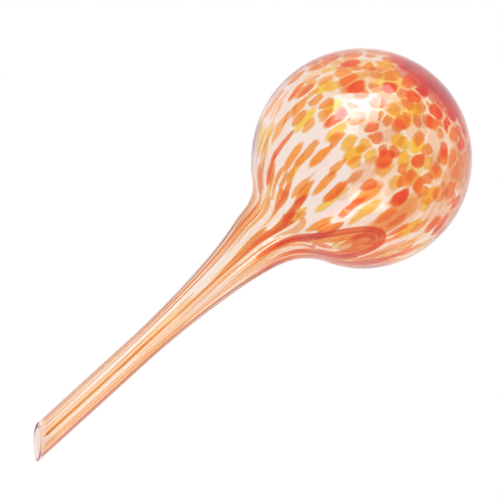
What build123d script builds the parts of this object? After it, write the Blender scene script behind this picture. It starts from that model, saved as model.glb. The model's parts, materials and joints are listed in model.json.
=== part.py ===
from build123d import *

import os
from math import acos, cos, pi, radians, sin, sqrt, tan
from random import Random

# Watering globe: a hand-blown glass bulb on a drawn, hollow stem, with coloured chips of glass in its wall.
# It is filled through the slanted tip and pushed upside down into a pot, where it lets water out slowly.
# Frame: +Z runs up the stem to the bulb, the origin is on the stem's axis at the soil line,
# and +X is the side that the bulb leans to. Sizes are in millimetres and angles in degrees.

# Straight stem, below the soil line
stem_radius = 6.0
stem_length = 60.0
stem_spare = 4.0  # extra length that the slanted cut takes away

# Slanted tip
tip_angle = 45.0  # between the cut and the stem's axis
tip_turn = 30.0  # heading of the tip's longest point, from +X towards +Y
tip_polish = 0.4  # rounding of the cut, whose edges were melted smooth

# Neck: two flares, each tangent to the one below, and a soft corner under the bulb
neck_mid_height = 49.0
neck_mid_radius = 9.1
neck_top_radius = 21.0
neck_sink = 2.55  # how deep the end of the upper flare lies inside the bulb's hollow
neck_fillet = 18.0

# Bulb, blown a little to one side of the stem
bulb_radius = 45.0
bulb_height = 122.0
bulb_offset = 3.4

# Thickness of the wall, which tapers along the neck
stem_wall = 1.5
neck_mid_wall = 1.9
neck_top_wall = 4.0
bulb_wall = 4.5

# Chips, in a spiral on the bulb from its crown towards the neck
chip_sides = 5
chip_last_polar = 135.0  # angle from the crown to the last chip
crown_polar = 24.0  # chips within this angle of the crown are all red
chip_depth = 1.4  # from the face of the glass to the chip's flat floor
chip_gap = 1.8  # clear glass between a chip and the next, on average
chip_width = 10.2
chip_width_spread = 1.5
chip_stretch = 1.2  # length over width at the crown
chip_drawn = 0.8  # added to that stretch beside the neck, where the glass was pulled
chip_narrowed = 0.3  # share of the width that is lost there
chip_lean = 35.0  # most that a chip turns from its meridian
chip_jitter = 0.14  # unevenness of a chip's corners
amber_share = 0.28
red_share = 0.16

# Streaks: chips that were drawn out, as trails along the neck and thin threads along the stem
stem_streak_depth = 0.5
neck_streak_depth = 0.6
trail_count = 9
trail_width = 3.4
trail_length = 34.0
trail_drop = 13.0  # from the end of the upper flare down to the tops of the higher trails
trail_step = 3.0  # every other trail sits this much higher
thread_count = 5
thread_width = 1.6
thread_length = 72.0
thread_gap = 3.0  # from the upper end of the slanted cut to the feet of the lower threads
thread_step = 8.0  # every other thread sits this much higher

golden_angle = 180.0 * (3.0 - sqrt(5.0))
bulb_centre = Vector(bulb_offset, 0, bulb_height)

# The upper flare ends inside the bulb's hollow, also on the side that the bulb leans away from
flare_reach = neck_top_radius - neck_top_wall + bulb_offset
neck_top_height = bulb_height - sqrt((bulb_radius - bulb_wall - neck_sink) ** 2 - flare_reach**2)

# Chips are as far apart as their own length and the gap
chip_pitch = chip_width * chip_stretch + chip_gap
chip_zone = 2 * pi * bulb_radius**2 * (1 - cos(radians(chip_last_polar)))
chip_count = round(chip_zone / chip_pitch**2)

# The slanted cut leans towards the tip's longest point, which is stem_length below the soil line
tip_slope = 1.0 / tan(radians(tip_angle))
tip_lean = Vector(cos(radians(tip_turn)), sin(radians(tip_turn)), 0) * tip_slope
tip_plane = Plane((0, 0, stem_radius * tip_slope - stem_length), z_dir=tip_lean + Vector(0, 0, 1))


def blown_form(at_stem, at_mid, at_top, at_bulb):
    """The solid form of the whole globe, this deep below its outer face along the neck and at the bulb."""
    with BuildPart() as form:
        with BuildSketch(Plane.XZ):
            with BuildLine():
                stem_foot = (stem_radius - at_stem, -stem_length - stem_spare)
                stem_side = Line(stem_foot, (stem_radius - at_stem, 0))
                low_flare = TangentArc(
                    stem_side @ 1, (neck_mid_radius - at_mid, neck_mid_height), tangent=stem_side % 1
                )
                high_flare = TangentArc(
                    low_flare @ 1, (neck_top_radius - at_top, neck_top_height), tangent=low_flare % 1
                )
                Polyline(high_flare @ 1, (0, bulb_height), (0, -stem_length - stem_spare), stem_foot)
            make_face()
        revolve(axis=Axis.Z)
        with Locations(bulb_centre):
            Sphere(bulb_radius - at_bulb)
        # Deeper in the wall the corner is wider by its depth, so the wall stays even
        fillet(form.edges().filter_by(GeomType.BSPLINE), neck_fillet + at_top)
    return form.part


def chip_outline(length, width, rng):
    """Corners of one chip: an uneven polygon, as crushed glass breaks."""
    corners = []
    for corner in range(chip_sides):
        turn = 2 * pi * (corner + rng.uniform(-chip_jitter, chip_jitter)) / chip_sides
        corners.append((length / 2 * cos(turn), width / 2 * sin(turn)))
    return corners


def chip_places():
    """Plane, outline and colour of each chip on the bulb."""
    rng = Random(7)
    places = []
    for number in range(chip_count):
        share = (number + 0.5) / chip_count
        polar = acos(1 - share * (1 - cos(radians(chip_last_polar))))
        around = radians(number * golden_angle)
        drawn = polar / pi
        outward = Vector(sin(polar) * cos(around), sin(polar) * sin(around), cos(polar))
        downward = Vector(cos(polar) * cos(around), cos(polar) * sin(around), -sin(polar))
        plane = Plane(bulb_centre + outward * bulb_radius, x_dir=downward, z_dir=outward)
        lean = rng.uniform(-chip_lean, chip_lean) * (1 - drawn)
        width = chip_width + rng.uniform(-chip_width_spread, chip_width_spread)
        width *= 1 - chip_narrowed * drawn
        length = width * (chip_stretch + chip_drawn * drawn**2)
        pick = rng.random()
        if polar < radians(crown_polar) or pick < red_share:
            colour = "red"
        elif pick < red_share + amber_share:
            colour = "amber"
        else:
            colour = "orange"
        places.append((plane.rotated((0, 0, lean)), chip_outline(length, width, rng), colour))
    return places


def stamp_chips(places, colour):
    """Chips of one colour, each from its flat floor out to the face of the bulb."""
    with BuildPart() as chips:
        for plane, outline, name in places:
            if name == colour:
                with BuildSketch(plane.offset(-chip_depth)):
                    Polygon(*outline, align=None)
        extrude(amount=2 * chip_depth)
        add(outer_form, mode=Mode.INTERSECT)
    return chips.part


def stamp_streaks(count, length, width, foot, step):
    """Streaks spaced around the stem: pointed strips pushed out from its axis through the skin."""
    with BuildPart() as streaks:
        for number in range(count):
            around = radians(360.0 * (number + 0.5) / count)
            middle = (0, 0, foot + length / 2 + step * (number % 2))
            outward = Vector(cos(around), sin(around), 0)
            with BuildSketch(Plane(middle, x_dir=(0, 0, 1), z_dir=outward)):
                Polygon((-length / 2, 0), (0, -width / 2), (length / 2, 0), (0, width / 2), align=None)
        extrude(amount=neck_top_radius)
        add(skin, mode=Mode.INTERSECT)
    return streaks.part


# Forms that every piece is cut from, so that the pieces meet face to face
outer_form = blown_form(0, 0, 0, 0)
streak_floor = blown_form(stem_streak_depth, neck_streak_depth, chip_depth, chip_depth)
hollow_form = blown_form(stem_wall, neck_mid_wall, neck_top_wall, bulb_wall)

# Skin of the glass, which holds the streaks
with BuildPart() as skin_layer:
    add(outer_form)
    add(streak_floor, mode=Mode.SUBTRACT)
skin = skin_layer.part

places = chip_places()
trail_foot = neck_top_height - trail_drop - trail_step - trail_length
thread_foot = 2 * stem_radius * tip_slope - stem_length + thread_gap

os.makedirs("parts", exist_ok=True)

# Orange chips on the bulb
with BuildPart() as orange_chips:
    add(stamp_chips(places, "orange"))
orange_chips.part.label = "orange_chips"
export_step(orange_chips.part, "parts/orange_chips.step")

# Amber chips on the bulb
with BuildPart() as amber_chips:
    add(stamp_chips(places, "amber"))
amber_chips.part.label = "amber_chips"
export_step(amber_chips.part, "parts/amber_chips.step")

# Red chips on the bulb, all of those at its crown among them
with BuildPart() as red_chips:
    add(stamp_chips(places, "red"))
red_chips.part.label = "red_chips"
export_step(red_chips.part, "parts/red_chips.step")

# Streaks: the trails on the neck and the threads in the stem
with BuildPart() as drawn_streaks:
    add(stamp_streaks(trail_count, trail_length, trail_width, trail_foot, trail_step))
    add(stamp_streaks(thread_count, thread_length, thread_width, thread_foot, thread_step))
drawn_streaks.part.label = "drawn_streaks"
export_step(drawn_streaks.part, "parts/drawn_streaks.step")

# Clear glass: one blown wall, open at the slanted tip, with a pocket for each chip melted flush into it
with BuildPart() as glass_body:
    add(outer_form)
    add(hollow_form, mode=Mode.SUBTRACT)
    split(bisect_by=tip_plane, keep=Keep.TOP)
    cut_face = glass_body.faces().filter_by(GeomType.PLANE)
    fillet(cut_face.edges(), tip_polish)
    for colour in (orange_chips, amber_chips, red_chips, drawn_streaks):
        add(colour.part, mode=Mode.SUBTRACT)
glass_body.part.label = "glass_body"
export_step(glass_body.part, "parts/glass_body.step")
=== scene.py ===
import json
from bisect import bisect_right
from math import acos, asin, atan2, cos, hypot, pi, radians, sin, sqrt
from random import Random

import bmesh
import bpy
from mathutils import Matrix, Vector, noise


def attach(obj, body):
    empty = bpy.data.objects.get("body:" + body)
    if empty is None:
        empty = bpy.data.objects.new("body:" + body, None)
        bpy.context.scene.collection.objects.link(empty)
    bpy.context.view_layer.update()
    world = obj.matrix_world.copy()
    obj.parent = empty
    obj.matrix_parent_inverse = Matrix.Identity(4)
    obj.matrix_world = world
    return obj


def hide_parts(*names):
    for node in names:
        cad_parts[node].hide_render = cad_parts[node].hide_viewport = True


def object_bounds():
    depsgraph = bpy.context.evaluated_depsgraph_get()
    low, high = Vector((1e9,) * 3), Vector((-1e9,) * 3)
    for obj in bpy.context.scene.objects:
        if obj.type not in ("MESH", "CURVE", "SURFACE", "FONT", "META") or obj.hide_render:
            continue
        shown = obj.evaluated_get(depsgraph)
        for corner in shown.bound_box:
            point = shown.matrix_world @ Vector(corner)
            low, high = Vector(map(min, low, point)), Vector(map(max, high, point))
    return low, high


# A hand-blown watering globe: a clear wall with coloured chips in it, drawn to streaks down its neck and stem
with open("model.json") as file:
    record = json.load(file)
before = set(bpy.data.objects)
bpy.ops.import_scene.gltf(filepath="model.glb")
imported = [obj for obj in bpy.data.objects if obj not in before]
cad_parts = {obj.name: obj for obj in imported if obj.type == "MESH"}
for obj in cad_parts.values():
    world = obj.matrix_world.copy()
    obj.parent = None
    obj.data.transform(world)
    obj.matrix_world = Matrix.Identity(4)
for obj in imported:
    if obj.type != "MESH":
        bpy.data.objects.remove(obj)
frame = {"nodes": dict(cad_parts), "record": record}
cad_box = [list(corner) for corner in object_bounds()]
rng = Random(11)

# Sizes read from the frame, in metres
low, high = (Vector(corner) for corner in cad_box)
mount = {each["name"]: each for each in frame["record"]["mounts"]}
stem_radius = mount["stem"]["dims"]["r_mm"] / 1000
bore_radius = mount["mouth"]["dims"]["r_mm"] / 1000

# Bulb and stem, as in the solids
bulb_radius = 0.0450
bulb_wall = 0.0045
bulb_centre = Vector(((low.x + high.x) / 2, 0, high.z - bulb_radius))
stem_length = 0.0600

# Neck, as in the solids: radius at two heights, a soft corner under the bulb, and the wall down to there
neck_mid_height = 0.0490
neck_top_height = 0.0900
neck_mid_radius = 0.0091
neck_top_radius = 0.0210
neck_fillet = 0.0180
neck_wall = 0.0020
wall_start = neck_top_height - 0.008  # heights between which the wall thickens to the bulb's
wall_end = neck_top_height + 0.014
lean_start = 0.0660  # heights between which the axis moves over to the bulb's own
lean_end = 0.0920

# Slanted tip
tip_slope = 1.0
tip_turn = radians(30)
tip_raise = 0.0003  # lost where the cut was melted smooth
tip_middle = stem_radius * tip_slope - stem_length + tip_raise
lip_round = 0.0004

# Chips in the bulb's wall
chip_cover = 0.00025  # clear glass over a chip
chip_thickness = 0.0012
chip_gap = 0.0005  # clear vein between two chips
chip_spacing = 0.0053  # across, at the crown
chip_spacing_drawn = 0.0028  # across, beside the neck
chip_spacing_spread = (0.85, 1.1)
chip_stretch = 1.15  # length over width at the crown
chip_stretch_drawn = 4.6  # beside the neck, where the glass was pulled
pull_start = radians(70)  # angles from the crown between which it was pulled more and more
pull_end = radians(135)
chip_lowest = radians(146)
chip_trials = 6000
chip_weights = (0.62, 1.5)  # a heavier chip takes more room from its neighbours
neighbour_reach = 0.024
free_reach = 0.72  # how far a chip goes where it has no neighbour, as a share of its spacing
least_reach = 0.0004
corner_power = 6  # a lower power makes a chip's corners rounder
edge_roughness = 0.20
chip_fill = (0.96, 1.10)  # share of its cell that a chip fills
crown_fill = 1.35  # more in the red drift, so that the chips there run together
chip_points = 24
chip_rings = (0.0, 0.40, 0.68, 0.88, 1.0)

# Belt of sparse chips round the bulb's middle: angles from the crown where it begins and ends, in degrees
belt_top = (78, 96)
belt_foot = (108, 130)
belt_even = 0.9  # strength all round, and how much more on the side that the bulb leans away from
belt_lean = 0.8
belt_shrink = 0.06  # share of a chip's size, and of the number of chips, that is lost in the belt
belt_loss = 0.16
pull_shrink = 0.10  # the same beside the neck
pull_loss = 0.10

# Smears of pale colour, deeper in the wall than the chips
smear_count = 66
smear_cover = 0.0022
smear_spacing = 0.0085
smear_sizes = (0.6, 1.2)
smear_stretches = (0.9, 1.5)
smear_heights = (-0.35, 0.85)  # from the bulb's centre, in its radius
crown_smears = 7  # in a ring inside the red drift
crown_smear_reach = 0.25
crown_smear_growth = 1.4

# Tones, which pick a chip's shade, from 0 for the deepest to 1 for the palest
near_tones = (0.0, 0.5)
far_tones = (0.35, 0.7)  # on the side that the bulb leans away from
reflection_pale_share = 0.8  # how far the painted reflection at the +X rim takes a tone to the palest
orange_share = 0.35  # what an orange drift leaves of a tone
crown_share = 0.75  # how far the distance from the red drift sets the tone of a red chip
orange_smear_tone = 0.72
crown_smear_tone = 0.5

# Drifts of one colour or paleness, the pale ones being painted reflections: angle from the crown, heading and
# reach, in degrees
red_drift = (13, -132, 23)
amber_drifts = ((65, -82, 15), (56, -120, 9), (88, -120, 9), (70, 60, 14))
orange_drifts = ((88, -93, 12), (90, -46, 20))
# Paler chips over a wide patch at the +X rim: a painted reflection of softboxes there
painted_rim_reflection_drift = (57, 0, 50)
# Palest orange chips here are a painted reflection of a window on the bulb
painted_reflection_drift = (71, -108, 17)
drift_scale = 2.4  # smaller drifts between them: fineness, place and limits of their noise
drift_place = Vector((3.1, 0.7, 5.2))
red_below = -0.38
amber_above = 0.20
# Piece that takes the place of each node of chips
frits = {"orange_chips": "orange_frit", "amber_chips": "amber_frit", "red_chips": "red_frit"}

# Streaks drawn down the neck
streak_points = 8
streak_step = 0.0022
streak_thickness = 0.0004
streak_depths = (0.0005, 0.0009)
streak_head = 0.10  # share of the way along which a streak widens
streak_margin = 0.0010  # between a streak's foot and the slanted cut
streak_tail = 0.55  # share of the way along which it thins out
long_widest = 0.0034
long_tail = 0.015
# Trails from the bulb down the neck, with angles and widths in degrees
trail_slots = 24
trail_tops = (110, 142)  # angle from the crown
trail_feet = (0.050, 0.078)
trail_top_tones = (0.36, 0.54)
trail_foot_tones = (0.15, 0.4)
trail_drift = 0.15
trail_widths = (7, 12)
# Fine lines along the neck and stem
line_count = 7
line_tops = (0.0, 0.085)
line_lengths = (0.06, 0.13)
line_drift = 0.1
line_widths = (1.5, 3.0)
line_widest = 0.0010
line_tones = (0.5, 0.3)
# Streaks all down the neck and stem: heading and width in degrees, top and foot, and tones at both
long_streaks = (
    (-158, 7, 0.080, -0.049, 1.00, 0.90),
    (-142, 9, 0.079, -0.056, 0.44, 0.28),
    (-127, 3, 0.070, -0.056, 0.95, 0.90),
    (-88, 7, 0.084, -0.010, 0.54, 0.30),
    (-89, 12, 0.020, -0.059, 0.25, 0.46),
    (-74, 4, 0.076, 0.000, 0.50, 0.30),
    (-106, 9, 0.010, -0.056, 0.05, 0.12),
    (-62, 7, 0.030, -0.057, 0.12, 0.25),
    (-50, 14, 0.072, -0.054, 0.12, 0.14),
    (-66, 8, 0.098, 0.062, 0.60, 0.50),
    (-24, 10, 0.104, 0.058, 0.66, 0.50),
    (-27, 9, 0.040, -0.060, 0.25, 0.72),
    (30, 6, 0.070, -0.040, 0.30, 0.20),
    (95, 8, 0.076, -0.050, 0.45, 0.25),
    (150, 6, 0.074, -0.050, 0.60, 0.35),
)
# The same, laid last: under the bulb, then brown along both sides of the stem as painted edge shade, and
# brown in its middle
late_streaks = (
    (-13, 9, 0.108, 0.060, 0.58, 0.45),
    (-2, 8, 0.102, 0.062, 0.50, 0.40),
    # Brown on the stem's two outlines from the front: painted edge shade
    (-8, 16, 0.070, -0.059, 0.92, 0.92),
    (-172, 7, 0.070, -0.047, 0.95, 0.95),
    (-89, 3.5, 0.010, -0.059, 0.90, 1.00),
)
# Swirl beside the neck: its heading, then bend and width in degrees, width and tone of each of its streaks
swirl_heading = radians(-50)
swirl_turn = radians(5)  # how far its foot is turned from there
swirl_foot = 0.058
swirl_top = radians(108)  # below this angle from the crown it keeps out chips, and beside it trails
swirl_chip_room = radians(20)
swirl_trail_room = radians(13)
swirl_streaks = ((111, 31, 0.0032, 0.70), (115, 22, 0.0040, 0.48))
# Pools of colour inside the swirl: upper and lower end in degrees, width and tone
swirl_pools = ((115, 129, 0.0070, 0.42), (120, 141, 0.0085, 0.14))

# Photograph's frame, taken as 500 x 500 pixels
image_pixels = 500
pixel = 0.0004076  # size of one pixel at the globe
photo_bulb = (361.4, 158.8)  # centre of the bulb
photo_tilt = radians(42.3)  # the stem's axis above the picture's horizontal
camera_distance = 0.90
sensor = 36.0

# Mesh fineness and unevenness of the wall
around_steps = 192
row_step = 0.0011
lip_rows = 8
wave_scale = 22
outer_wave = 0.004
inner_wave = 0.016


def smooth_step(value, start, end):
    share = min(max((value - start) / (end - start), 0.0), 1.0)
    return share * share * (3 - 2 * share)


def mix(first, second, share):
    return first + (second - first) * share


def lean(height):
    """How far the globe's axis has moved towards +X at a height."""
    return bulb_centre.x * smooth_step(height, lean_start, lean_end)


def arc(centre, radius, start, end):
    """Points of an arc in the plane of radius and height, between two angles, one every row_step or so."""
    steps = max(2, round(abs(end - start) * radius / row_step))
    turns = [start + (end - start) * step / steps for step in range(steps)]
    return [(centre[0] + radius * cos(turn), centre[1] + radius * sin(turn)) for turn in turns]


def blown_profile():
    """Outline of the glass from the soil line up to the crown, as (radius, height) points."""
    rise = neck_mid_radius - stem_radius
    low_radius = (rise**2 + neck_mid_height**2) / (2 * rise)
    low_centre = (stem_radius + low_radius, 0.0)
    slope = asin(neck_mid_height / low_radius)
    chord = (neck_top_radius - neck_mid_radius, neck_top_height - neck_mid_height)
    high_radius = hypot(*chord) / (2 * sin(atan2(*chord) - slope))
    high_centre = (neck_mid_radius + high_radius * cos(slope), neck_mid_height - high_radius * sin(slope))
    # The corner's arc touches the bulb from outside and the upper flare from inside
    centre_line = Vector((high_centre[0], high_centre[1] - bulb_centre.z))
    reach_bulb = bulb_radius + neck_fillet
    reach_flare = high_radius - neck_fillet
    gap = centre_line.length
    along = (reach_bulb**2 - reach_flare**2 + gap**2) / (2 * gap)
    aside = sqrt(reach_bulb**2 - along**2)
    towards = centre_line / gap
    corner = towards * along + Vector((towards.y, -towards.x)) * aside
    corner_centre = (corner.x, corner.y + bulb_centre.z)
    bulb_turn = atan2(corner.y, corner.x)
    flare_turn = atan2(corner_centre[1] - high_centre[1], corner_centre[0] - high_centre[0]) % (2 * pi)
    points = arc(low_centre, low_radius, pi, pi - slope)
    points += arc(high_centre, high_radius, pi - slope, flare_turn)
    points += arc(corner_centre, neck_fillet, flare_turn, bulb_turn + pi)
    points += arc((0.0, bulb_centre.z), bulb_radius, bulb_turn, pi / 2)
    return points + [(0.0, bulb_centre.z + bulb_radius)]


def hollow_profile(outer):
    """The outline moved in by the wall, which is thin down the neck and thick on the bulb."""
    points = [(bore_radius, 0.0)]
    for before, (radius, height), after in zip(outer, outer[1:], outer[2:]):
        along = Vector((after[0] - before[0], after[1] - before[1])).normalized()
        wall = mix(stem_radius - bore_radius, neck_wall, smooth_step(height, 0.0, neck_mid_height))
        wall = mix(wall, bulb_wall, smooth_step(height, wall_start, wall_end))
        points.append((radius - along.y * wall, height + along.x * wall))
    return points + [(0.0, outer[-1][1] - bulb_wall)]


outer_profile = blown_profile()
inner_profile = hollow_profile(outer_profile)


def cut_height(radius, around):
    """Height of the slanted cut at a point of the stem."""
    return tip_middle - tip_slope * radius * cos(around - tip_turn)


def glass_point(radius, height, around):
    return Vector((radius * cos(around) + lean(height), radius * sin(around), height))


def link_piece(name, mesh):
    """A new smooth piece of the scene."""
    mesh.shade_smooth()
    piece = bpy.data.objects.new(name, mesh)
    bpy.context.scene.collection.objects.link(piece)
    return piece


def build_glass():
    """The blown wall: the outer face down to the slanted tip, round its lip, and up the inner face."""
    stem_rows = round(stem_length / row_step)
    turns = [2 * pi * step / around_steps for step in range(around_steps)]
    rows = []

    def wavy(radius, height, turn, depth):
        """Uneven hand-blown glass: never thicker than the solid."""
        place = glass_point(radius, height, turn) * wave_scale
        return radius * (1 - depth * (0.5 + 0.5 * noise.noise(place)))

    def stem_row(radius, share):
        lip = [share * (cut_height(radius, turn) + lip_round) for turn in turns]
        return [glass_point(radius, height, turn) for height, turn in zip(lip, turns)]

    for radius, height in reversed(outer_profile[1:-1]):
        rows.append([glass_point(wavy(radius, height, turn, outer_wave), height, turn) for turn in turns])
    for step in range(stem_rows):
        rows.append(stem_row(stem_radius, step / stem_rows))
    half_wall = (stem_radius - bore_radius) / 2
    lip_start = len(rows) * around_steps
    for step in range(lip_rows + 1):
        swing = pi * step / lip_rows
        radius = stem_radius - half_wall + half_wall * cos(swing)
        rise = lip_round * (1 - sin(swing))
        rows.append([glass_point(radius, cut_height(radius, turn) + rise, turn) for turn in turns])
    lip_end = len(rows) * around_steps
    for step in range(stem_rows - 1, -1, -1):
        rows.append(stem_row(bore_radius, step / stem_rows))
    for radius, height in inner_profile[1:-1]:
        rows.append([glass_point(wavy(radius, height, turn, -inner_wave), height, turn) for turn in turns])

    bm = bmesh.new()
    verts = [[bm.verts.new(place) for place in row] for row in rows]
    for upper, lower in zip(verts, verts[1:]):
        for step in range(around_steps):
            after = (step + 1) % around_steps
            bm.faces.new((upper[step], lower[step], lower[after], upper[after]))
    for profile, ring in ((outer_profile, verts[0]), (inner_profile, verts[-1])):
        pole = bm.verts.new(glass_point(0, profile[-1][1], 0))
        for step in range(around_steps):
            bm.faces.new((pole, ring[step], ring[(step + 1) % around_steps]))
    bmesh.ops.recalc_face_normals(bm, faces=bm.faces)
    mesh = bpy.data.meshes.new("glass_wall")
    bm.to_mesh(mesh)
    bm.free()
    indices = range(len(mesh.vertices))
    for name, start, end in (("outside", 0, lip_start), ("lip", lip_start, lip_end)):
        layer = mesh.attributes.new(name, "FLOAT", "POINT")
        layer.data.foreach_set("value", [float(start <= index < end) for index in indices])
    return link_piece("glass_wall", mesh)


class Bits:
    """A mesh of many separate soft bits of glass. Each point keeps its depth of colour and its tone."""

    def __init__(self, name):
        self.name = name
        self.verts = []
        self.faces = []
        self.core = []
        self.tone = []

    def add_rings(self, rings, cores, tones):
        """One closed bit of glass, from rings of points; a ring of one point is its end."""
        start = len(self.verts)
        firsts = []
        for ring, core, tone in zip(rings, cores, tones):
            firsts.append(start)
            self.verts += ring
            self.core += core
            self.tone += [tone] * len(ring)
            start += len(ring)
        for index in range(len(rings) - 1):
            here, there = rings[index], rings[index + 1]
            first, second = firsts[index], firsts[index + 1]
            count = max(len(here), len(there))
            for step in range(count):
                after = (step + 1) % count
                if len(here) == 1:
                    self.faces.append((first, second + after, second + step))
                elif len(there) == 1:
                    self.faces.append((first + step, first + after, second))
                else:
                    self.faces.append((first + step, first + after, second + after, second + step))

    def build(self):
        mesh = bpy.data.meshes.new(self.name)
        mesh.from_pydata(self.verts, [], self.faces)
        for name, values in (("core", self.core), ("tone", self.tone)):
            layer = mesh.attributes.new(name, "FLOAT", "POINT")
            layer.data.foreach_set("value", values)
        bm = bmesh.new()
        bm.from_mesh(mesh)
        bmesh.ops.recalc_face_normals(bm, faces=bm.faces)
        bm.to_mesh(mesh)
        bm.free()
        return link_piece(self.name, mesh)


def islands(node):
    """The separate solids of a CAD node, each as the low and the high corner of its box."""
    bm = bmesh.new()
    bm.from_mesh(frame["nodes"][node].data)
    bmesh.ops.remove_doubles(bm, verts=bm.verts, dist=1e-6)
    left = set(bm.verts)
    found = []
    while left:
        todo = [left.pop()]
        group = []
        while todo:
            vert = todo.pop()
            group.append(vert.co.copy())
            for edge in vert.link_edges:
                other = edge.other_vert(vert)
                if other in left:
                    left.remove(other)
                    todo.append(other)
        lows = [min(place[axis] for place in group) for axis in range(3)]
        highs = [max(place[axis] for place in group) for axis in range(3)]
        found.append((Vector(lows), Vector(highs)))
    bm.free()
    return sorted(found, key=lambda box: tuple(round(value, 5) for value in (*box[1], *box[0])))


def pulled(polar):
    """How far the glass was drawn towards the neck at an angle from the crown, from 0 to 1."""
    return smooth_step(polar, pull_start, pull_end)


def direction(polar, around):
    return Vector((sin(polar) * cos(around), sin(polar) * sin(around), cos(polar)))


def inside_drift(outward, drift):
    """How far inside a drift of colour a direction is, as an angle."""
    polar, around, reach = (radians(angle) for angle in drift)
    return reach - outward.angle(direction(polar, around))


def in_orange_drift(outward):
    return any(inside_drift(outward, each) > 0 for each in orange_drifts)


def chip_colour(outward):
    """Colours come in drifts, with red at the crown."""
    drift = noise.noise(outward * drift_scale + drift_place)
    # Pale orange chips make the painted reflection here
    if inside_drift(outward, painted_reflection_drift) > 0:
        return "orange_frit"
    if inside_drift(outward, red_drift) > 0 or drift < red_below:
        return "red_frit"
    if in_orange_drift(outward):
        return "orange_frit"
    if drift > amber_above or any(inside_drift(outward, each) > 0 for each in amber_drifts):
        return "amber_frit"
    return "orange_frit"


class Chip:
    """One chip on the bulb: where it is, how it is stretched and how much room it takes up."""

    def __init__(self, outward, colour):
        self.outward = outward
        self.colour = colour
        self.polar = acos(min(max(outward.z, -1.0), 1.0))
        self.across = Vector((0, 0, 1)).cross(outward).normalized()
        self.down = self.across.cross(outward)
        self.stretch = mix(chip_stretch, chip_stretch_drawn, pulled(self.polar))
        self.spacing = mix(chip_spacing, chip_spacing_drawn, pulled(self.polar))
        self.cover = chip_cover
        self.weight = rng.uniform(*chip_weights)
        near, far = rng.uniform(*near_tones), rng.uniform(*far_tones)
        self.tone = mix(near, far, smooth_step(-outward.x, 0.1, 0.8))
        # Paler towards the +X rim, as a painted reflection
        pale = smooth_step(inside_drift(outward, painted_rim_reflection_drift), 0, radians(30))
        self.tone = mix(self.tone, 1.0, reflection_pale_share * pale)
        if in_orange_drift(outward):
            self.tone *= orange_share
        # Palest inside the painted reflection
        if inside_drift(outward, painted_reflection_drift) > 0:
            self.tone = 1.0
        if colour == "red_frit":
            # Deepest at the crown
            away = smooth_step(-inside_drift(outward, red_drift), 0, radians(20))
            self.tone = mix(self.tone, away, crown_share)
        self.key = rng.uniform(0, 100)

    def offset(self, other):
        """Another chip's place from this one, along and across, with the stretch taken out."""
        apart = (other.outward - self.outward) * bulb_radius
        return apart.dot(self.down) / self.stretch, apart.dot(self.across)

    def clear_of(self, others, room):
        return all(hypot(*self.offset(other)) > room for other in others)

    def reach(self, neighbours, turn):
        """Distance to the chip's edge: half way to its neighbours, less the vein, with rounded corners."""
        crowding = (free_reach * self.spacing) ** -corner_power
        for along, across, share in neighbours:
            apart = hypot(along, across)
            facing = (along * cos(turn) + across * sin(turn)) / apart
            if facing > 0.05:
                crowding += max(apart * share / facing - chip_gap / 2, least_reach) ** -corner_power
        rough = noise.noise(Vector((1.6 * cos(turn), 1.6 * sin(turn), self.key)))
        rough += 0.6 * noise.noise(Vector((3.4 * cos(turn), 3.4 * sin(turn), self.key + 7)))
        return crowding ** (-1 / corner_power) * (1 + edge_roughness * rough)

    def add_to(self, bits, chips, fill):
        """Builds the chip in the cell that its neighbours leave it."""
        neighbours = []
        for other in chips:
            apart = (other.outward - self.outward).length * bulb_radius
            if other is not self and apart < neighbour_reach:
                neighbours.append((*self.offset(other), self.weight / (self.weight + other.weight)))
        turns = [2 * pi * step / chip_points for step in range(chip_points)]
        edge = []
        for turn in turns:
            length = self.reach(neighbours, turn) * fill
            edge.append((self.down * cos(turn) * self.stretch + self.across * sin(turn)) * length)
        levels = [(share, -1) for share in chip_rings] + [(share, 1) for share in reversed(chip_rings[:-1])]
        rings, cores = [], []
        for share, side in levels:
            swell = side * sqrt(max(0.0, 1 - share**2)) / 2
            level = bulb_radius - self.cover - chip_thickness * (0.5 + swell)
            places = edge if share else [Vector()]
            rays = [(self.outward * bulb_radius + place * share).normalized() for place in places]
            rings.append([bulb_centre + ray * level for ray in rays])
            cores.append([1 - share] * len(places))
        bits.add_rings(rings, cores, [self.tone] * len(rings))


def in_swirl(chip):
    """True where the swirl leaves no room for a chip."""
    around = atan2(chip.outward.y, chip.outward.x)
    return chip.polar > swirl_top and abs(around - swirl_heading) < swirl_chip_room


def in_belt(chip):
    """How far a chip is inside the belt where the clear glass shows."""
    inside = smooth_step(chip.polar, *(radians(angle) for angle in belt_top))
    inside *= 1 - smooth_step(chip.polar, *(radians(angle) for angle in belt_foot))
    return inside * (belt_even - belt_lean * chip.outward.x)


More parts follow.
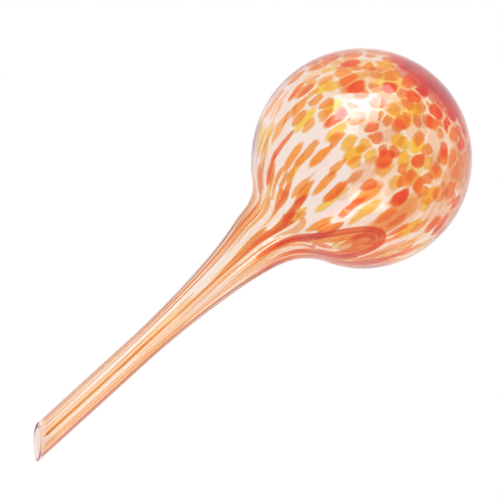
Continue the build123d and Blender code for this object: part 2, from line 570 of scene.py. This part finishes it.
def lay_chips():
    """The solids' chips, and more between them until they lie as close as in the photograph."""
    chips = []
    for node, colour in frits.items():
        for lowest, highest in islands(node):
            chips.append(Chip(((lowest + highest) / 2 - bulb_centre).normalized(), colour))
    solid_count = len(chips)
    for _ in range(chip_trials):
        polar = acos(1 - rng.random() * (1 - cos(chip_lowest)))
        outward = direction(polar, rng.uniform(0, 2 * pi))
        chip = Chip(outward, chip_colour(outward))
        if chip.clear_of(chips, chip.spacing * rng.uniform(*chip_spacing_spread)):
            chips.append(chip)
    groups = {name: Bits(name) for name in frits.values()}
    for number, chip in enumerate(chips):
        belt, pull = in_belt(chip), pulled(chip.polar)
        fill = (1 - belt_shrink * belt - pull_shrink * pull) * rng.uniform(*chip_fill)
        if inside_drift(chip.outward, red_drift) > 0:
            fill *= crown_fill
        kept = rng.random() > belt_loss * belt + pull_loss * pull
        if (number < solid_count or kept) and not in_swirl(chip):
            chip.add_to(groups[chip.colour], chips, fill)
    red_middle = direction(radians(red_drift[0]), radians(red_drift[1]))
    for number in range(crown_smears):
        turn = 2 * pi * number / crown_smears - pi / 2
        outward = red_middle + Vector((cos(turn), sin(turn), 0)) * crown_smear_reach
        smear = Chip(outward.normalized(), "red_frit")
        smear.cover = smear_cover
        smear.spacing = crown_smear_growth * smear_spacing
        smear.tone = crown_smear_tone
        smear.add_to(groups["red_frit"], [], 1.0)
    for _ in range(smear_count):
        outward = direction(acos(rng.uniform(*smear_heights)), rng.uniform(0, 2 * pi))
        smear = Chip(outward, chip_colour(outward))
        smear.cover = smear_cover
        smear.spacing = smear_spacing * rng.uniform(*smear_sizes)
        smear.stretch *= rng.uniform(*smear_stretches)
        smear.tone = orange_smear_tone if in_orange_drift(outward) else 1.0
        # None on the clearer side of the bulb
        clearer = outward.x < 0.1 and outward.z < 0.25
        if smear.colour != "red_frit" and not clearer and not in_swirl(smear):
            smear.add_to(groups[smear.colour], [], 1.0)
    return groups


# Lengthways places on the outer face, from the crown down to the soil line, for the drawn streaks
down_profile = list(reversed(outer_profile))
down_length = [0.0]
for here, there in zip(down_profile, down_profile[1:]):
    down_length.append(down_length[-1] + hypot(there[0] - here[0], there[1] - here[1]))
soil_length = down_length[-1]
height_to_length = sorted((point[1], length) for point, length in zip(down_profile, down_length))


def length_at(height):
    """Length along the outer face from the crown to a height on the neck or the stem."""
    if height <= 0:
        return soil_length - height
    index = min(bisect_right(height_to_length, (height, 0)), len(height_to_length) - 1)
    return height_to_length[index][1]


def wall_place(length, around, depth):
    """A point in the wall: a length along the outer face from the crown, a turn and a depth."""
    if length >= soil_length:
        return glass_point(stem_radius - depth, soil_length - length, around)
    index = min(max(bisect_right(down_length, length) - 1, 0), len(down_profile) - 2)
    share = (length - down_length[index]) / (down_length[index + 1] - down_length[index])
    here, there = Vector(down_profile[index]), Vector(down_profile[index + 1])
    along = (there - here).normalized()
    inward = Vector((along.y, -along.x))
    radius, height = here.lerp(there, share) + inward * depth
    return glass_point(radius, height, around)


def add_streak(bits, path, length, spread, widest, tones, tail):
    """A chip drawn out along a path in the wall, as narrow as the neck makes it further down.

    The path gives a length from the crown and a turn for each share of the way. Tones are those of its ends,
    and tail is the share of the way along which it thins out.
    """
    depth = rng.uniform(*streak_depths)
    steps = max(12, round(length / streak_step))
    rings, cores, shades = [], [], []
    for step in range(steps + 1):
        share = step / steps
        taper = min(1.0, share / streak_head) ** 0.6 * min(1.0, (1 - share) / tail) ** 0.7
        middle = wall_place(*path(share), depth)
        shades.append(mix(*tones, share))
        if step in (0, steps):
            rings.append([middle])
            cores.append([0.0])
            continue
        outward = (middle - wall_place(*path(share), depth + streak_thickness)).normalized()
        ahead = wall_place(*path(share + 0.5 / steps), depth) - wall_place(*path(share - 0.5 / steps), depth)
        across = ahead.cross(outward).normalized()
        radius = max(hypot(middle.x - lean(middle.z), middle.y), bore_radius)
        half = min(spread * radius, widest) / 2 * taper
        ring, core = [], []
        for side in range(streak_points):
            swing = 2 * pi * side / streak_points
            aside = half * cos(swing)
            rise = streak_thickness / 2 * taper * sin(swing) - aside**2 / (2 * radius)
            ring.append(middle + across * aside + outward * rise)
            core.append(abs(sin(swing)) * min(1.0, taper * 1.3))
        rings.append(ring)
        cores.append(core)
    bits.add_rings(rings, cores, shades)


def straight_path(start, end, around, drift):
    """Down the wall from one length to another, with a slow wander."""
    phase = rng.uniform(0, 2 * pi)

    def path(share):
        return mix(start, end, share), around + drift * (share - 0.5) + 0.025 * sin(7 * share + phase)

    return path


def hairpin_path(foot, bend, width):
    """Up from the neck, round a bend on the bulb and down to the neck again."""

    def path(share):
        climb = max(sin(pi * share), 0.0) ** 0.55
        around = swirl_heading - swirl_turn * (1 - climb) - width / 2 * cos(pi * share)
        return mix(foot, bend, climb), around

    return path


def lay_streaks():
    """The solids' streaks, then long ones, trails from the bulb down the neck, fine lines and the swirl."""
    bits = Bits("drawn_streaks_soft")

    def lowest(around):
        return length_at(cut_height(stem_radius, around) + streak_margin)

    def add(start, end, around, drift, spread, widest, tones, tail=streak_tail):
        add_streak(bits, straight_path(start, end, around, drift), end - start, spread, widest, tones, tail)

    def add_long(heading, width, top, foot, *tones):
        around = radians(heading)
        end = min(length_at(foot), lowest(around))
        add(length_at(top), end, around, 0.05, radians(width), long_widest, tones, long_tail)

    for bottom, top in islands("drawn_streaks"):
        middle = (bottom + top) / 2
        around = atan2(middle.y, middle.x)
        tones = (0.25, 0.12) if bottom.z < 0 else (rng.uniform(0.3, 0.6), rng.uniform(0.1, 0.4))
        add(length_at(top.z), length_at(bottom.z), around, 0.12, radians(7), 0.004, tones)
    for streak in long_streaks:
        add_long(*streak)
    for slot in range(trail_slots):
        around = 2 * pi * (slot + rng.uniform(0.1, 0.9)) / trail_slots
        if abs(around - swirl_heading - 2 * pi) < swirl_trail_room:
            continue
        under = cos(around)  # more on the side that the bulb leans to
        start = bulb_radius * radians(rng.uniform(*trail_tops) - 10 * under)
        end = length_at(rng.uniform(*trail_feet))
        tones = (rng.uniform(*trail_top_tones) + 0.08 * under, rng.uniform(*trail_foot_tones))
        drift = rng.uniform(-trail_drift, trail_drift)
        spread = radians(rng.uniform(*trail_widths))
        add(start, end, around, drift, spread, 0.0032 + 0.0008 * under, tones)
    for number in range(line_count):
        around = 2 * pi * (number + rng.uniform(0.1, 0.9)) / line_count
        start = length_at(rng.uniform(*line_tops))
        end = min(start + rng.uniform(*line_lengths), lowest(around))
        drift = rng.uniform(-line_drift, line_drift)
        spread = radians(rng.uniform(*line_widths))
        add(start, end, around, drift, spread, line_widest, line_tones)
    for bend, width, widest, tone in swirl_streaks:
        foot, top = length_at(swirl_foot), bulb_radius * radians(bend)
        path = hairpin_path(foot, top, radians(width))
        add_streak(bits, path, 2 * (foot - top), radians(11), widest, (tone, tone), 0.1)
    for top, bottom, widest, tone in swirl_pools:
        start, end = bulb_radius * radians(top), bulb_radius * radians(bottom)
        add(start, end, swirl_heading, -swirl_turn / 2, radians(18), widest, (tone, tone))
    for streak in late_streaks:
        add_long(*streak)
    return bits


# Materials
def new_material(name):
    material = bpy.data.materials.new(name)
    material.use_nodes = True
    nodes = material.node_tree.nodes
    return material, nodes, material.node_tree.links, nodes["Principled BSDF"]


def add_math(nodes, links, operation, *values):
    """A math node; each value is a number or an output of another node."""
    node = nodes.new("ShaderNodeMath")
    node.operation = operation
    for socket, value in zip(node.inputs, values):
        if isinstance(value, (int, float)):
            socket.default_value = value
        else:
            links.new(value, socket)
    return node.outputs["Value"]


def add_mix(nodes, links, share, first, second):
    """A colour between two others, each a triple or an output of another node."""
    node = nodes.new("ShaderNodeMix")
    node.data_type = "RGBA"
    links.new(share, node.inputs["Factor"])
    for name, value in (("A", first), ("B", second)):
        if isinstance(value, tuple):
            node.inputs[name].default_value = (*value, 1)
        else:
            links.new(value, node.inputs[name])
    return node.outputs["Result"]


def add_range(nodes, links, value, start, end):
    """How far a value is from one number to another, smoothly from 0 to 1."""
    node = nodes.new("ShaderNodeMapRange")
    node.interpolation_type = "SMOOTHSTEP"
    links.new(value, node.inputs["Value"])
    node.inputs["From Min"].default_value = start
    node.inputs["From Max"].default_value = end
    return node.outputs["Result"]


def add_noise(nodes, links, vector, scale, detail):
    node = nodes.new("ShaderNodeTexNoise")
    links.new(vector, node.inputs["Vector"])
    node.inputs["Scale"].default_value = scale
    node.inputs["Detail"].default_value = detail
    return node.outputs["Fac"]


def clear_glass():
    """Clear glass, faintly rose where it is thick, with peach striae drawn along the neck and stem, and a
    painted rose shade at its glancing rim.
    """
    material, nodes, links, shader = new_material("clear_glass")
    place = nodes.new("ShaderNodeTexCoord").outputs["Object"]
    parts = nodes.new("ShaderNodeSeparateXYZ")
    links.new(place, parts.inputs["Vector"])
    # Striae: noise round the stem that hardly changes along it; places along X, Y and Z are in metres
    square = add_math(nodes, links, "MULTIPLY", parts.outputs["X"], parts.outputs["X"])
    radius = add_math(nodes, links, "MULTIPLY_ADD", parts.outputs["Y"], parts.outputs["Y"], square)
    radius = add_math(nodes, links, "SQRT", radius)
    turned = nodes.new("ShaderNodeCombineXYZ")
    links.new(add_math(nodes, links, "DIVIDE", parts.outputs["X"], radius), turned.inputs["X"])
    links.new(add_math(nodes, links, "DIVIDE", parts.outputs["Y"], radius), turned.inputs["Y"])
    links.new(add_math(nodes, links, "MULTIPLY", parts.outputs["Z"], 4.0), turned.inputs["Z"])
    striae = add_noise(nodes, links, turned.outputs["Vector"], 2.6, 5)
    bands = add_range(nodes, links, striae, 0.36, 0.66)
    stem_tint = add_mix(nodes, links, bands, (0.98, 0.955, 0.92), (0.965, 0.86, 0.78))
    neck_tint = add_mix(nodes, links, bands, (0.99, 0.962, 0.925), (0.96, 0.83, 0.72))
    cast = add_range(nodes, links, add_noise(nodes, links, place, 30, 3), 0.4, 0.7)
    bulb_tint = add_mix(nodes, links, cast, (0.965, 0.945, 0.93), (0.97, 0.90, 0.86))
    towards_crown = add_range(nodes, links, parts.outputs["Z"], 0.112, 0.145)
    bulb_tint = add_mix(nodes, links, towards_crown, bulb_tint, (0.985, 0.895, 0.77))
    below = add_range(nodes, links, parts.outputs["X"], 0.008, 0.040)
    bulb_tint = add_mix(nodes, links, below, bulb_tint, (0.975, 0.86, 0.77))
    at_tip = add_range(nodes, links, parts.outputs["Z"], -0.02, -0.05)
    tip_tint = add_mix(nodes, links, bands, (0.97, 0.89, 0.81), (0.95, 0.79, 0.66))
    stem_tint = add_mix(nodes, links, at_tip, stem_tint, tip_tint)
    on_neck = add_range(nodes, links, parts.outputs["Z"], 0.01, 0.06)
    on_bulb = add_range(nodes, links, parts.outputs["Z"], 0.075, 0.105)
    tint = add_mix(nodes, links, on_neck, stem_tint, neck_tint)
    under = add_math(nodes, links, "DIVIDE", parts.outputs["X"], radius)
    under = add_range(nodes, links, under, 0.15, 0.75)
    tint = add_mix(nodes, links, under, tint, (0.965, 0.82, 0.735))
    tint = add_mix(nodes, links, on_bulb, tint, bulb_tint)
    # Glancing parts of the outer face get a painted rose shade, standing in for the light held in the wall at
    # the rim
    facing = nodes.new("ShaderNodeLayerWeight")
    facing.inputs["Blend"].default_value = 0.5
    outside = nodes.new("ShaderNodeAttribute")
    outside.attribute_name = "outside"
    painted_rim_shade = add_range(nodes, links, facing.outputs["Facing"], 0.52, 0.80)
    painted_rim_shade = add_math(nodes, links, "MULTIPLY", painted_rim_shade, outside.outputs["Fac"])
    low_side = add_range(nodes, links, parts.outputs["Z"], 0.130, 0.100)
    low_side = add_math(nodes, links, "MULTIPLY", low_side, below)
    bulb_rim_shade = add_mix(nodes, links, low_side, (0.73, 0.46, 0.53), (0.84, 0.54, 0.36))
    rose = add_mix(nodes, links, on_bulb, (0.66, 0.42, 0.38), bulb_rim_shade)
    # painted rim shade laid over the glass colour
    tint = add_mix(nodes, links, painted_rim_shade, tint, rose)
    # The bore is deeper in colour on the long side of the slanted mouth
    in_mouth = add_range(nodes, links, parts.outputs["Z"], -0.042, -0.053)
    long_side = add_range(nodes, links, parts.outputs["Y"], -0.001, 0.003)
    in_bore = add_math(nodes, links, "SUBTRACT", 1.0, outside.outputs["Fac"])
    in_mouth = add_math(nodes, links, "MULTIPLY", in_mouth, long_side)
    in_mouth = add_math(nodes, links, "MULTIPLY", in_mouth, in_bore)
    tint = add_mix(nodes, links, in_mouth, tint, (0.76, 0.54, 0.50))
    # The melted lip is pale and duller
    lip = nodes.new("ShaderNodeAttribute")
    lip.attribute_name = "lip"
    tint = add_mix(nodes, links, lip.outputs["Fac"], tint, (0.93, 0.82, 0.85))
    links.new(tint, shader.inputs["Base Color"])
    bump = nodes.new("ShaderNodeBump")
    bump.inputs["Strength"].default_value = 0.04
    bump.inputs["Distance"].default_value = 0.002
    links.new(add_noise(nodes, links, place, 60, 2), bump.inputs["Height"])
    links.new(bump.outputs["Normal"], shader.inputs["Normal"])
    links.new(add_math(nodes, links, "MULTIPLY", lip.outputs["Fac"], 0.4), shader.inputs["Roughness"])
    shader.inputs["IOR"].default_value = 1.5
    shader.inputs["Transmission Weight"].default_value = 1.0
    # Lamps shine through the wall, so that the chips inside it are lit
    path = nodes.new("ShaderNodeLightPath")
    through = nodes.new("ShaderNodeBsdfTransparent")
    choice = nodes.new("ShaderNodeMixShader")
    links.new(path.outputs["Is Shadow Ray"], choice.inputs["Fac"])
    links.new(shader.outputs["BSDF"], choice.inputs[1])
    links.new(through.outputs["BSDF"], choice.inputs[2])
    links.new(choice.outputs["Shader"], nodes["Material Output"].inputs["Surface"])
    depth = nodes.new("ShaderNodeVolumeAbsorption")
    depth.inputs["Color"].default_value = (0.80, 0.32, 0.16, 1)
    depth.inputs["Density"].default_value = 20.0
    links.new(depth.outputs["Volume"], nodes["Material Output"].inputs["Volume"])
    return material


def coloured_glass(name, shades, edge):
    """Coloured glass, pale at its thin edge; the tone of each bit picks its shade from a row of them."""
    material, nodes, links, shader = new_material(name)
    place = nodes.new("ShaderNodeTexCoord").outputs["Object"]
    core = nodes.new("ShaderNodeAttribute")
    core.attribute_name = "core"
    tone = nodes.new("ShaderNodeAttribute")
    tone.attribute_name = "tone"
    clouds = add_noise(nodes, links, place, 260, 4)
    rough = add_math(nodes, links, "MULTIPLY_ADD", clouds, 0.2, -0.08)
    fade = add_range(nodes, links, add_math(nodes, links, "ADD", core.outputs["Fac"], rough), 0.0, 0.30)
    shade = shades[0]
    for index, following in enumerate(shades[1:]):
        steps = len(shades) - 1
        share = add_range(nodes, links, tone.outputs["Fac"], index / steps, (index + 1) / steps)
        shade = add_mix(nodes, links, share, shade, following)
    links.new(add_mix(nodes, links, fade, edge, shade), shader.inputs["Base Color"])
    shader.inputs["Transmission Weight"].default_value = 0.95
    shader.inputs["Roughness"].default_value = 0.15
    shader.inputs["IOR"].default_value = 1.0
    return material


# Shades from tone 0 to tone 1; those of the streaks go from pale peach through amber, orange and red to brown
orange_shades = (
    (1.0, 0.26, 0.012),
    (1.0, 0.40, 0.03),
    (1.0, 0.58, 0.19),
    (0.99, 0.86, 0.74),
)
amber_shades = (
    (1.0, 0.60, 0.04),
    (1.0, 0.77, 0.10),
    (1.0, 0.90, 0.34),
)
red_shades = (
    (0.90, 0.02, 0.012),
    (0.98, 0.22, 0.015),
)
streak_shades = (
    (1.0, 0.92, 0.83),
    (0.98, 0.66, 0.26),
    (0.95, 0.42, 0.10),
    (0.86, 0.20, 0.06),
    (0.58, 0.32, 0.23),
)
groups = lay_chips()
streaks = lay_streaks()
pieces = [
    (build_glass(), clear_glass(), "clear_glass", "glass_body"),
    (
        groups["orange_frit"].build(),
        coloured_glass("orange_glass", orange_shades, (0.99, 0.87, 0.73)),
        "orange_glass",
        "orange_chips",
    ),
    (
        groups["amber_frit"].build(),
        coloured_glass("amber_glass", amber_shades, (1.0, 0.93, 0.72)),
        "amber_glass",
        "amber_chips",
    ),
    (
        groups["red_frit"].build(),
        coloured_glass("red_glass", red_shades, (0.97, 0.72, 0.55)),
        "red_glass",
        "red_chips",
    ),
    (
        streaks.build(),
        coloured_glass("streak_glass", streak_shades, (1.0, 0.94, 0.86)),
        "streak_glass",
        "drawn_streaks",
    ),
]
for piece, material, slot, node in pieces:
    piece.data.materials.append(material)
    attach(piece, "root")
    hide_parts(node)

# Camera: level, turned so that the stem lies across the picture as in the photograph
right = Vector((sin(photo_tilt), 0, cos(photo_tilt)))
up = Vector((-right.z, 0, right.x))
back = Vector((0, -1, 0))
middle = image_pixels / 2
aim = bulb_centre - right * (photo_bulb[0] - middle) * pixel - up * (middle - photo_bulb[1]) * pixel
camera_data = bpy.data.cameras.new("camera")
camera_data.sensor_width = sensor
camera_data.lens = sensor * camera_distance / (image_pixels * pixel)
camera = bpy.data.objects.new("camera", camera_data)
turned = Matrix((right, up, back)).transposed().to_4x4()
camera.matrix_world = Matrix.Translation(aim + back * camera_distance) @ turned
bpy.context.scene.collection.objects.link(camera)
bpy.context.scene.camera = camera


def seen_rays(nodes, links):
    """1 for rays that show the background: to the camera, in mirrors and through glass."""
    path = nodes.new("ShaderNodeLightPath")
    seen = path.outputs["Is Camera Ray"]
    for name in ("Is Transmission Ray", "Is Glossy Ray"):
        seen = add_math(nodes, links, "MAXIMUM", seen, path.outputs[name])
    return seen


# World: a white studio, a little dimmer as a light
world_light = 0.75
world = bpy.data.worlds.new("white_studio")
bpy.context.scene.world = world
world.use_nodes = True
world_nodes, world_links = world.node_tree.nodes, world.node_tree.links
seen = seen_rays(world_nodes, world_links)
level = add_math(world_nodes, world_links, "MULTIPLY_ADD", seen, 1 - world_light, world_light)
world_links.new(level, world_nodes["Background"].inputs["Strength"])
world_nodes["Background"].inputs["Color"].default_value = (1, 1, 1, 1)

# Floor under the tip: white where it is seen, apart from the globe's shadow
floor_mesh = bpy.data.meshes.new("floor")
floor_reach = 3.0
floor_glow = 0.75
sides = ((-1, -1), (1, -1), (1, 1), (-1, 1))
corners = [(floor_reach * x, floor_reach * y, low.z) for x, y in sides]
floor_mesh.from_pydata(corners, [], [(0, 1, 2, 3)])
floor = link_piece("floor", floor_mesh)
floor_material, nodes, links, shader = new_material("pale_floor")
seen = seen_rays(nodes, links)
grain = add_noise(nodes, links, nodes.new("ShaderNodeTexCoord").outputs["Object"], 40, 2)
lit = add_mix(nodes, links, grain, (0.90, 0.90, 0.90), (0.92, 0.92, 0.92))
links.new(add_mix(nodes, links, seen, lit, (0.36, 0.36, 0.36)), shader.inputs["Base Color"])
shader.inputs["Roughness"].default_value = 0.9
shader.inputs["Emission Color"].default_value = (1, 1, 1, 1)
links.new(add_math(nodes, links, "MULTIPLY", seen, floor_glow), shader.inputs["Emission Strength"])
floor_mesh.materials.append(floor_material)


def softbox(name, toward, distance, size, radiance, tint, lights_chips):
    """A rectangular lamp that faces the bulb from a direction given in the picture's right, up and back."""
    lamp = bpy.data.lights.new(name, "AREA")
    lamp.shape = "RECTANGLE"
    lamp.size, lamp.size_y = size
    lamp.energy = radiance * pi * size[0] * size[1]
    lamp.color = tint
    holder = bpy.data.objects.new(name, lamp)
    ray = (right * toward[0] + up * toward[1] + back * toward[2]).normalized()
    across = up.cross(ray).normalized()
    turned = Matrix((across, ray.cross(across), ray)).transposed().to_4x4()
    holder.matrix_world = Matrix.Translation(bulb_centre + ray * distance) @ turned
    holder.visible_camera = False
    holder.visible_diffuse = lights_chips
    bpy.context.scene.collection.objects.link(holder)


# Softboxes that the bulb mirrors, and one that lights the chips
softbox("key_softbox", (-0.10, 0.79, 0.60), 0.70, (0.52, 0.36), 7.5, (0.90, 0.80, 1.0), False)
softbox("edge_softbox", (0.31, 0.88, 0.36), 0.70, (0.26, 0.24), 4.0, (0.90, 0.84, 1.0), False)
softbox("left_softbox", (-0.94, 0.26, 0.19), 0.80, (0.25, 0.50), 2.5, (0.96, 0.94, 1.0), False)
softbox("fill_softbox", (-0.30, 0.60, 0.75), 1.20, (0.60, 0.60), 2.0, (1.0, 0.98, 0.97), True)

# Enough bounces for light to pass through both walls and their chips
scene = bpy.context.scene
scene.view_settings.view_transform = "Standard"
scene.cycles.max_bounces = 48
scene.cycles.transmission_bounces = 48
scene.cycles.glossy_bounces = 48
scene.cycles.transparent_max_bounces = 28
